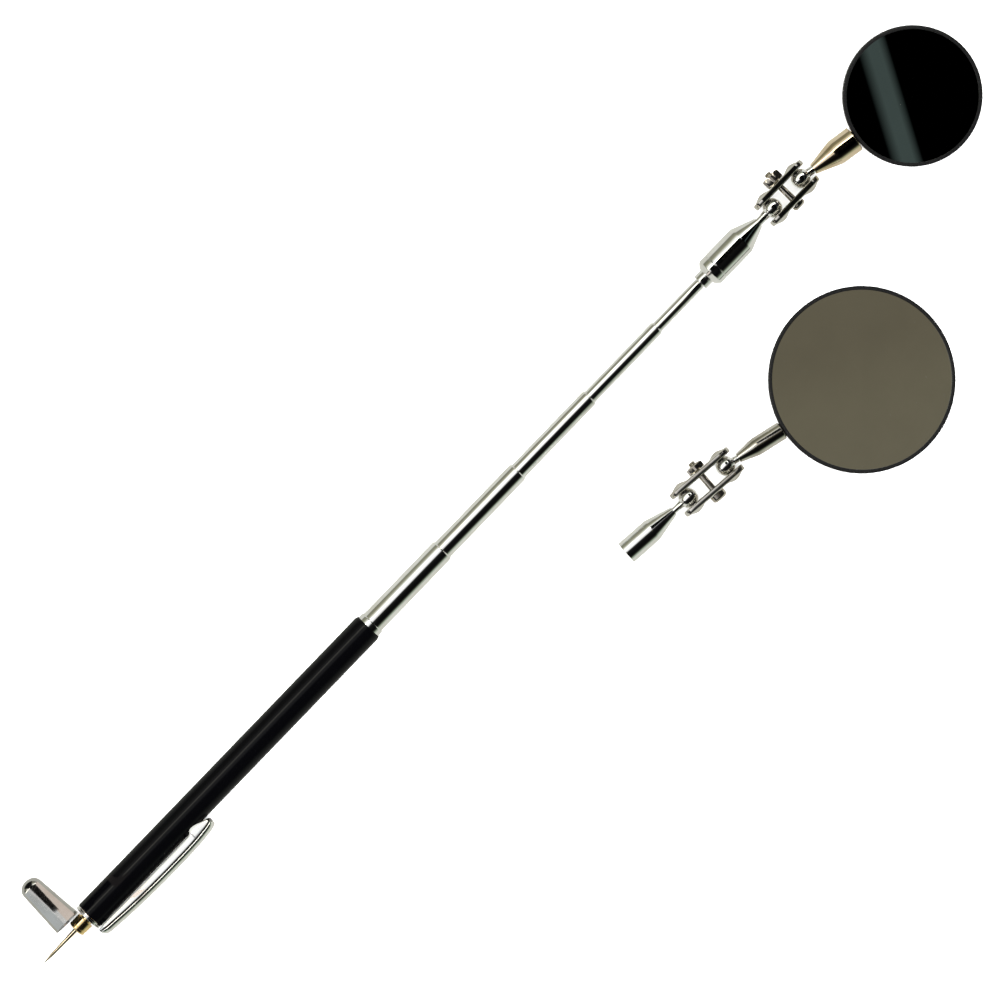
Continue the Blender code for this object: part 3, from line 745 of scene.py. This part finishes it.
def plate_mesh(name, length, width, inner_y, sheet, ball_x, dome_r, dome_height):
    """A pressed oval plate: flat, with a smooth dome over each ball and fine shear marks round its edge."""
    radius = width / 2
    reach = length / 2 - radius
    outline = []
    for side in (1, -1):
        for k in range(PLATE_ROUND_STEPS):
            a = math.radians(-90 + 180 * k / PLATE_ROUND_STEPS)
            outline.append((side * reach, side * math.cos(a), side * math.sin(a)))
        for k in range(PLATE_STRAIGHT_STEPS):
            outline.append((side * reach * (1 - 2 * k / PLATE_STRAIGHT_STEPS), 0.0, side * 1.0))

    def dome(x, z):
        distance = min(math.hypot(x - ball_x, z), math.hypot(x + ball_x, z)) / dome_r
        return dome_height * (0.5 + 0.5 * math.cos(math.pi * min(1.0, distance))) ** 0.75

    bm = bmesh.new()
    faces = []
    for top in (True, False):
        rows = []
        for ring in range(PLATE_RINGS + 1):
            share = ring / PLATE_RINGS
            row = []
            for centre, dx, dz in outline:
                x, z = centre + dx * radius * share, dz * radius * share
                edge = max(0.0, share - EDGE_FROM) / (1 - EDGE_FROM)
                rounding = EDGE_DROP * sheet * edge**2
                low = inner_y + dome(x, z)
                row.append(bm.verts.new((x, low + sheet - rounding if top else low + rounding, z)))
            rows.append(row)
        for first, second in zip(rows, rows[1:]):
            bridge(bm, first, second)
        faces.append(rows)
    rim_rows = [faces[0][-1]]
    for layer in range(1, SHEAR_LAYERS):
        share = layer / SHEAR_LAYERS
        swell = math.sin(math.pi * share)
        row = []
        for index, (centre, dx, dz) in enumerate(outline):
            ridge = SHEAR_RIDGE * math.cos(math.pi * index)
            grown = radius - SHEAR_INSET + (SHEAR_BULGE + ridge) * swell
            y = inner_y + sheet * (1 - share)
            row.append(bm.verts.new((centre + dx * grown, y, dz * grown)))
        rim_rows.append(row)
    rim_rows.append(faces[1][-1])
    for first, second in zip(rim_rows, rim_rows[1:]):
        bridge(bm, first, second)
    bmesh.ops.remove_doubles(bm, verts=bm.verts, dist=1e-5)
    return finish_mesh(bm, name, sharp_deg=60)


def thread_corners(start, end, radius, pitch=0.45, depth=0.12):
    """Corners of a threaded stretch between two places on a shank."""
    count = max(1, int(abs(end - start) / pitch))
    step = (end - start) / count
    corners = []
    for k in range(count):
        corners.append((start + step * k, radius - depth, 0.05))
        corners.append((start + step * (k + 0.5), radius, 0.05))
    return corners


def make_clamp(head, at, spacing):
    """Plates, screw and nut of one clamp."""
    turn_to_y = Matrix.Rotation(math.radians(90), 4, "Z")
    across = at @ turn_to_y
    left = local_points(f"{head}_clamp_plate_left", at)
    length = float(np.ptp(left[:, 0]))
    width = float(np.ptp(left[:, 2]))
    inner_y = float(left[:, 1].min())
    dome_top = float(left[:, 1].max())
    shape = (length, width, inner_y, PLATE_SHEET, spacing / 2, DOME_R, dome_top - inner_y - PLATE_SHEET)
    body = f"{head}_clamp"
    for side, turn in (("left", 0), ("right", 180)):
        node = f"{head}_clamp_plate_{side}"
        placed = at @ Matrix.Rotation(math.radians(turn), 4, "X")
        mesh = plate_mesh(f"{node}_fine", *shape)
        piece(f"{node}_fine", mesh, LOOKS["nickel"], body, placed, [node])

    node = f"{head}_clamp_screw"
    low, high = span(node, across)
    head_r = radii(node, across, low, low + 2.5)[1]
    outer_y = inner_y + PLATE_SHEET
    under = -outer_y - 0.12
    corners = [
        (low, 0, 0),
        (low, head_r * 0.72, 0.2),
        (low + 0.5, head_r, 0.25),
        (under, head_r, 0.1),
        (under, SCREW_R, 0.05),
    ]
    corners += thread_corners(outer_y - 0.6, high - 0.15, SCREW_R)
    corners += [(high, SCREW_R - 0.25, 0.05), (high, 0, 0)]
    turned_piece(node, corners, LOOKS["steel"], body, across, sides=64)

    node = f"{head}_clamp_nut"
    low, high = span(node, across)
    flats = float(np.ptp(local_points(node, across)[:, 1]))
    mesh = nut_mesh(f"{node}_fine", low, high, flats, NUT_HOLE_R, domed=head == "large")
    piece(f"{node}_fine", mesh, LOOKS["steel"], body, across, [node])


def nut_mesh(name, low, high, flats, hole, domed):
    """A hexagonal nut with its corners turned off at both faces."""
    bm = bmesh.new()
    half = flats / 2
    corner = half / math.cos(math.radians(30))
    top = (high - 0.1, half - 0.45) if domed else (high, half - 0.05)
    profile = [(low, hole), (low, half - 0.05), (low + 0.35, corner), (high - 0.35, corner), top]
    profile.append((high, hole + 0.2))
    rows = []
    for x, radius in profile:
        row = []
        for k in range(NUT_SIDES):
            a = 2 * math.pi * k / NUT_SIDES
            folded = a % math.radians(60) - math.radians(30)
            flat_r = half / math.cos(folded)
            r = min(radius, flat_r) if radius > hole + 0.3 else radius
            row.append(bm.verts.new((x, r * math.sin(a), r * math.cos(a))))
        rows.append(row)
    for first, second in zip(rows, rows[1:]):
        bridge(bm, first, second)
    bridge(bm, rows[-1], rows[0])
    return finish_mesh(bm, name, sharp_deg=24)


def make_stem(head, at):
    """The tapered stem of the mirror, with the tongue that carries the cup from below."""
    node = f"{head}_mirror_stem"
    points = local_points(node, at)
    low, high = span(node, at)
    tip = points[points[:, 0] > high - 0.2]
    tongue_low = float(tip[:, 2].min())
    tongue_top = float(tip[:, 2].max())
    tongue_half = float(tip[:, 1].max())
    upper = radii(f"{head}_upper_ball", at, 5.0, 20.0)[1] + 0.05
    outer = float(np.abs(points[:, 1]).max())
    start_r = radii(node, at, low, low + 0.1)[1]
    shank_end = high - TONGUE_LENGTH
    corners = [
        (low + STEM_BORE, 0, 0),
        (low + STEM_BORE, upper, 0.05),
        (low, upper, 0.05),
        (low, start_r, 0.25),
        (STEM_CONE_END[head], outer, 0.9),
        (shank_end, outer, 0.3),
        (shank_end, 0, 0),
    ]
    finish, slot = (LOOKS["warm"], "warm_chrome") if head == "small" else (LOOKS["nickel"], "steel")
    mesh = turned(f"{node}_fine", filleted(corners, steps=8))
    piece(f"{node}_fine", mesh, finish, f"{head}_mirror", at, [node])

    bm = bmesh.new()
    inner = shank_end - TONGUE_ROOT
    outline = [(inner, -tongue_half)]
    for step in range(13):
        a = math.radians(-90 + 180 * step / 12)
        outline.append((high - tongue_half + tongue_half * math.cos(a), tongue_half * math.sin(a)))
    outline.append((inner, tongue_half))
    rows = [[bm.verts.new((x, y, z)) for x, y in outline] for z in (tongue_low, tongue_top)]
    bridge(bm, *rows)
    for row in rows:
        bm.faces.new(row)
    mesh = finish_mesh(bm, f"{head}_mirror_tongue")
    tongue = piece(f"{head}_mirror_tongue", mesh, finish, f"{head}_mirror", at, [])
    bevel = tongue.modifiers.new("edges", "BEVEL")
    bevel.width = TONGUE_BEVEL * MM
    bevel.segments = 2


def make_mirror(head, at):
    """The enamelled cup with a rolled rim, and the glass with its ground edge."""
    points = local_points(f"{head}_mirror_glass", at)
    centre = Vector((points.min(0) + points.max(0)) / 2) * MM
    disc = axes_at(at @ Vector((centre.x, centre.y, 0)), face_normal(f"{head}_mirror_glass"), (0, 1, 0))
    node = f"{head}_mirror_cup"
    low, high = span(node, disc)
    outer = radii(node, disc)[1] - RIM_ROOM
    glass_low, glass_high = span(f"{head}_mirror_glass", disc)
    glass_r = radii(f"{head}_mirror_glass", disc)[1]
    wall = glass_r + 0.1
    corners = [
        (low, 0, 0),
        (low, outer - 3.0, 0.4),
        (low + 0.12, outer - 2.6, 0.4),
        (low + 0.12, outer - 0.3, 0.5),
        (low + 0.5, outer, 0.4),
        (high, outer, 0.55),
        (high, outer - 1.0, 0.14),
        (glass_high + 0.04, outer - 1.05, 0.03),
        (glass_high + 0.04, wall, 0),
        (glass_low - 0.1, wall, 0),
        (glass_low - 0.1, 0, 0),
    ]
    turned_piece(node, corners, LOOKS["enamel"], f"{head}_mirror", disc, sides=RIM_SIDES)
    corners = [
        (glass_low, 0, 0),
        (glass_low, glass_r, 0.1),
        (glass_high, glass_r, 0.25),
        (glass_high, 0, 0),
    ]
    node = f"{head}_mirror_glass"
    turned_piece(node, corners, LOOKS["mirror"], f"{head}_mirror", disc, sides=RIM_SIDES)


def finish_hidden_nodes():
    """The plug and the bushes are shown as they were packed, in brass."""
    for node in ["rear_plug"] + [f"tube_bush_{number}" for number in range(1, 6)]:
        mesh = frame["nodes"][node].data
        mesh.materials.clear()
        mesh.materials.append(LOOKS["brass"])


# ---- Studio --------------------------------------------------------------------------------------
def emission_material(name, colour=None, coordinate=None, stops=None):
    """A glowing material of one colour, or with a ramp of stops along a texture node's (kind, output)."""
    made = bpy.data.materials.new(name)
    made.use_nodes = True
    tree = made.node_tree
    tree.nodes.clear()
    output = tree.nodes.new("ShaderNodeOutputMaterial")
    emission = tree.nodes.new("ShaderNodeEmission")
    tree.links.new(emission.outputs["Emission"], output.inputs["Surface"])
    if colour:
        emission.inputs["Color"].default_value = (*colour, 1.0)
        return made
    kind, source = coordinate
    place = tree.nodes.new(f"ShaderNode{kind}")
    split = tree.nodes.new("ShaderNodeSeparateXYZ")
    ramp = tree.nodes.new("ShaderNodeValToRGB")
    tree.links.new(place.outputs[source], split.inputs["Vector"])
    tree.links.new(split.outputs["X"], ramp.inputs["Fac"])
    tree.links.new(ramp.outputs["Color"], emission.inputs["Color"])
    fill_ramp(ramp, stops)
    return made


def reflected_only(obj):
    """Only reflections see this card: it lights nothing, shadows nothing and the camera doesn't see it."""
    obj.visible_camera = False
    obj.visible_diffuse = False
    obj.visible_shadow = False
    obj.visible_transmission = False
    obj.visible_volume_scatter = False


TENT_RADIUS = 1.5
TENT_HALF_LENGTH = 2.6
TENT_EDGE = 100.0  # degrees from overhead
TENT_STEPS = 80
TENT_END = (0.02, 0.02, 0.02)
TENT_STOPS = (  # degrees from overhead, positive to the -Y side, and the light that comes from there
    (-100, (0.46, 0.45, 0.42)),
    (-92, (0.38, 0.37, 0.33)),
    (-81, (0.22, 0.22, 0.17)),
    (-66, (0.27, 0.27, 0.19)),
    (-55, (0.38, 0.38, 0.28)),
    (-45, (0.92, 0.93, 0.86)),
    (-33, (1.10, 1.10, 1.05)),
    (-31, (6.0, 5.8, 5.0)),
    (-26, (6.0, 5.8, 5.0)),
    (-24, (1.10, 1.10, 1.08)),
    (-8, (1.05, 1.05, 1.05)),
    (3, (0.03, 0.03, 0.03)),
    (16, (0.006, 0.006, 0.006)),
    (56, (0.002, 0.002, 0.002)),
    (67, (0.06, 0.07, 0.05)),
    (81, (0.42, 0.48, 0.38)),
    (97, (0.60, 0.64, 0.56)),
)

BLACK = (0.0, 0.0, 0.0)
PALE = (0.048, 0.066, 0.062)
STREAK = ((0.0, BLACK), (0.419, BLACK), (0.475, PALE), (0.531, PALE), (0.575, BLACK), (1.0, BLACK))
SHADED_GREY = (
    (0.0, (0.15, 0.135, 0.095)),
    (0.45, (0.14, 0.125, 0.085)),
    (0.6, (0.125, 0.11, 0.075)),
    (1.0, (0.13, 0.115, 0.078)),
)


def make_tent(axis_y):
    """A long half round of reflector cards over the tool, which is what its bright metal reflects."""
    bm = bmesh.new()
    layer = bm.loops.layers.uv.new("angle")
    rows = []
    for k in range(TENT_STEPS + 1):
        angle = math.radians(-TENT_EDGE + 2 * TENT_EDGE * k / TENT_STEPS)
        y = axis_y - TENT_RADIUS * math.sin(angle)
        z = TENT_RADIUS * math.cos(angle)
        row = [bm.verts.new((x, y, z)) for x in (-TENT_HALF_LENGTH, TENT_HALF_LENGTH)]
        rows.append((k / TENT_STEPS, row))
    for (share_a, a), (share_b, b) in zip(rows, rows[1:]):
        face = bm.faces.new((a[0], a[1], b[1], b[0]))
        for loop, share in zip(face.loops, (share_a, share_a, share_b, share_b)):
            loop[layer].uv = (share, 0.5)
    mesh = bpy.data.meshes.new("tent")
    bm.to_mesh(mesh)
    bm.free()
    tent = bpy.data.objects.new("tent", mesh)
    bpy.context.scene.collection.objects.link(tent)
    stops = [((degrees + TENT_EDGE) / (2 * TENT_EDGE), colour) for degrees, colour in TENT_STOPS]
    mesh.materials.append(emission_material("tent_light", coordinate=("UVMap", "UV"), stops=stops))
    reflected_only(tent)
    for side in (-1, 1):
        place = (side * TENT_HALF_LENGTH, axis_y, 0)
        plain_card(f"tent_end_{side}", place, (0, 90, 0), (2 * TENT_RADIUS, 2 * TENT_RADIUS), TENT_END)


def card(name, place, turn_deg, size, light):
    """A flat card that only reflections see."""
    bpy.ops.mesh.primitive_plane_add(size=1, location=place)
    made = bpy.context.object
    made.name = name
    made.rotation_euler = [math.radians(angle) for angle in turn_deg]
    made.scale = (size[0], size[1], 1)
    made.data.materials.append(light)
    reflected_only(made)


def plain_card(name, place, turn_deg, size, colour):
    """A card of one brightness."""
    card(name, place, turn_deg, size, emission_material(f"{name}_light", colour=colour))


def mirror_card(name, head, camera_place, height, size, stops, turn, offset=(0.0, 0.0)):
    """A card that one mirror shows to the camera. It stands where the mirror sends the line of sight."""
    node = f"{head}_mirror_glass"
    low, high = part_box(node)
    centre = (Vector(low) + Vector(high)) / 2
    normal = face_normal(node)
    sight = (centre - camera_place).normalized()
    ray = sight - 2 * sight.dot(normal) * normal
    place = centre + ray * (height - centre.z) / ray.z + Vector((*offset, 0))
    light = emission_material(f"{name}_light", coordinate=("TexCoord", "Generated"), stops=stops)
    card(name, place, (0, 0, turn), size, light)


def mirror_cards(camera_place):
    """A pale streak on black for the small mirror, and a faintly shaded grey for the large one."""
    aside = (-0.0069, 0.0012)
    mirror_card("small_mirror_card", "small", camera_place, 0.05, (0.056, 0.056), STREAK, -27, aside)
    mirror_card("large_mirror_card", "large", camera_place, 0.8, (0.16, 0.16), SHADED_GREY, 60)


def local_cards():
    """Small cards close to the pieces that reflect darker or plainer surroundings than the mast."""
    low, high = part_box("small_socket")
    reach = Vector(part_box("small_mirror_stem")[1]).x + 0.03
    place = ((low.x + reach) / 2, (low.y + high.y) / 2 + 0.012, 0.12)
    plain_card("small_head_card", place, (0, 0, 0), (reach - low.x + 0.01, 0.08), (0.002, 0.002, 0.002))

    low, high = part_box("scriber_cap")
    middle = (low + high) / 2
    dark = (0.004, 0.004, 0.004)
    upright = (0.060, high.y - low.y + 0.004)
    plain_card("cap_card", (high.x - 0.001, high.y - 0.002, 0.018), (0, 0, 0), (0.010, 0.014), dark)
    plain_card("cap_left_card", (low.x - 0.012, middle.y, 0.0325), (0, 90, 0), upright, (0.74, 0.78, 0.79))
    plain_card("cap_right_card", (high.x + 0.012, middle.y, 0.0325), (0, 90, 0), upright, (1.08, 0.94, 0.84))
    plain_card("cap_end_card", (middle.x, high.y + 0.016, 0.02), (90, 0, 0), (0.03, 0.034), dark)


def make_floor():
    """The white paper under the tool. In its place, reflections see a card that is a little darker."""
    bpy.ops.mesh.primitive_plane_add(size=8, location=(0, 0, -0.0001))
    floor = bpy.context.object
    floor.name = "floor"
    made = Shading("floor_paper")
    grain = made.noise(2.5, detail=3.0)
    made.colour(made.mix(grain, (0.90, 0.90, 0.90, 1), (0.92, 0.92, 0.92, 1)))
    made.shader.inputs["Roughness"].default_value = 0.9
    made.shader.inputs["Specular IOR Level"].default_value = 0.0
    floor.data.materials.append(made.material)
    floor.visible_glossy = False
    plain_card("floor_reflection", (0, 0, -0.0003), (0, 0, 0), (8, 8), (0.70, 0.70, 0.63))


def area_light(name, place, size, power):
    """A soft square light that points at the middle of the table and isn't seen itself."""
    data = bpy.data.lights.new(name, "AREA")
    data.shape = "SQUARE"
    data.size = size
    data.energy = power
    light = bpy.data.objects.new(name, data)
    bpy.context.scene.collection.objects.link(light)
    light.location = place
    light.rotation_euler = (-Vector(place)).to_track_quat("-Z", "Y").to_euler()
    light.visible_glossy = False
    light.visible_camera = False


def make_lights():
    """An even pale world, with one large soft light overhead."""
    world = bpy.data.worlds.new("studio")
    world.use_nodes = True
    world.node_tree.nodes["Background"].inputs["Color"].default_value = (0.86, 0.87, 0.88, 1)
    world.node_tree.nodes["Background"].inputs["Strength"].default_value = 0.9
    bpy.context.scene.world = world
    area_light("overhead", (0.0, 0.1, 1.3), 1.6, 80)
    bpy.context.scene.view_settings.view_transform = "Standard"


LENS = 200.0
SENSOR = 36.0
VIEW_WIDTH = 266.0
DIAGONAL_DEG = 46.03  # the tool's direction in the picture, above the horizontal
AIM_X = 155.1  # along the tool from the barrel's rear end
AIM_Y = -1.8


def make_camera(at):
    """Straight above the tool, turned so that the tool lies on the picture's diagonal."""
    data = bpy.data.cameras.new("camera")
    data.lens = LENS
    data.sensor_width = SENSOR
    camera = bpy.data.objects.new("camera", data)
    bpy.context.scene.collection.objects.link(camera)
    distance = VIEW_WIDTH * MM * LENS / SENSOR
    aim = at @ Vector((AIM_X * MM, AIM_Y * MM, 0))
    camera.location = (aim.x, aim.y, distance + aim.z)
    camera.rotation_euler = (0, 0, math.radians(-DIAGONAL_DEG))
    bpy.context.scene.camera = camera
    return camera


def main():
    tool = tool_axes()
    camera = make_camera(tool)
    make_barrel(tool)
    make_ferrule(tool)
    make_clip_ring(tool)
    make_collet(tool)
    make_needle(tool)
    make_clip(tool)
    make_cap()
    make_mast(tool)
    make_tip(tool)
    for head in HEADS:
        at = head_axes(head)
        make_socket(head, at["socket"])
        make_ball(head, "lower", at["socket"], -1)
        make_clamp(head, at["clamp"], at["spacing"])
        make_ball(head, "upper", at["mirror"], 1)
        make_stem(head, at["mirror"])
        make_mirror(head, at["mirror"])
    finish_hidden_nodes()
    make_floor()
    make_lights()
    make_tent(tool.translation.y)
    local_cards()
    mirror_cards(camera.location)


main()
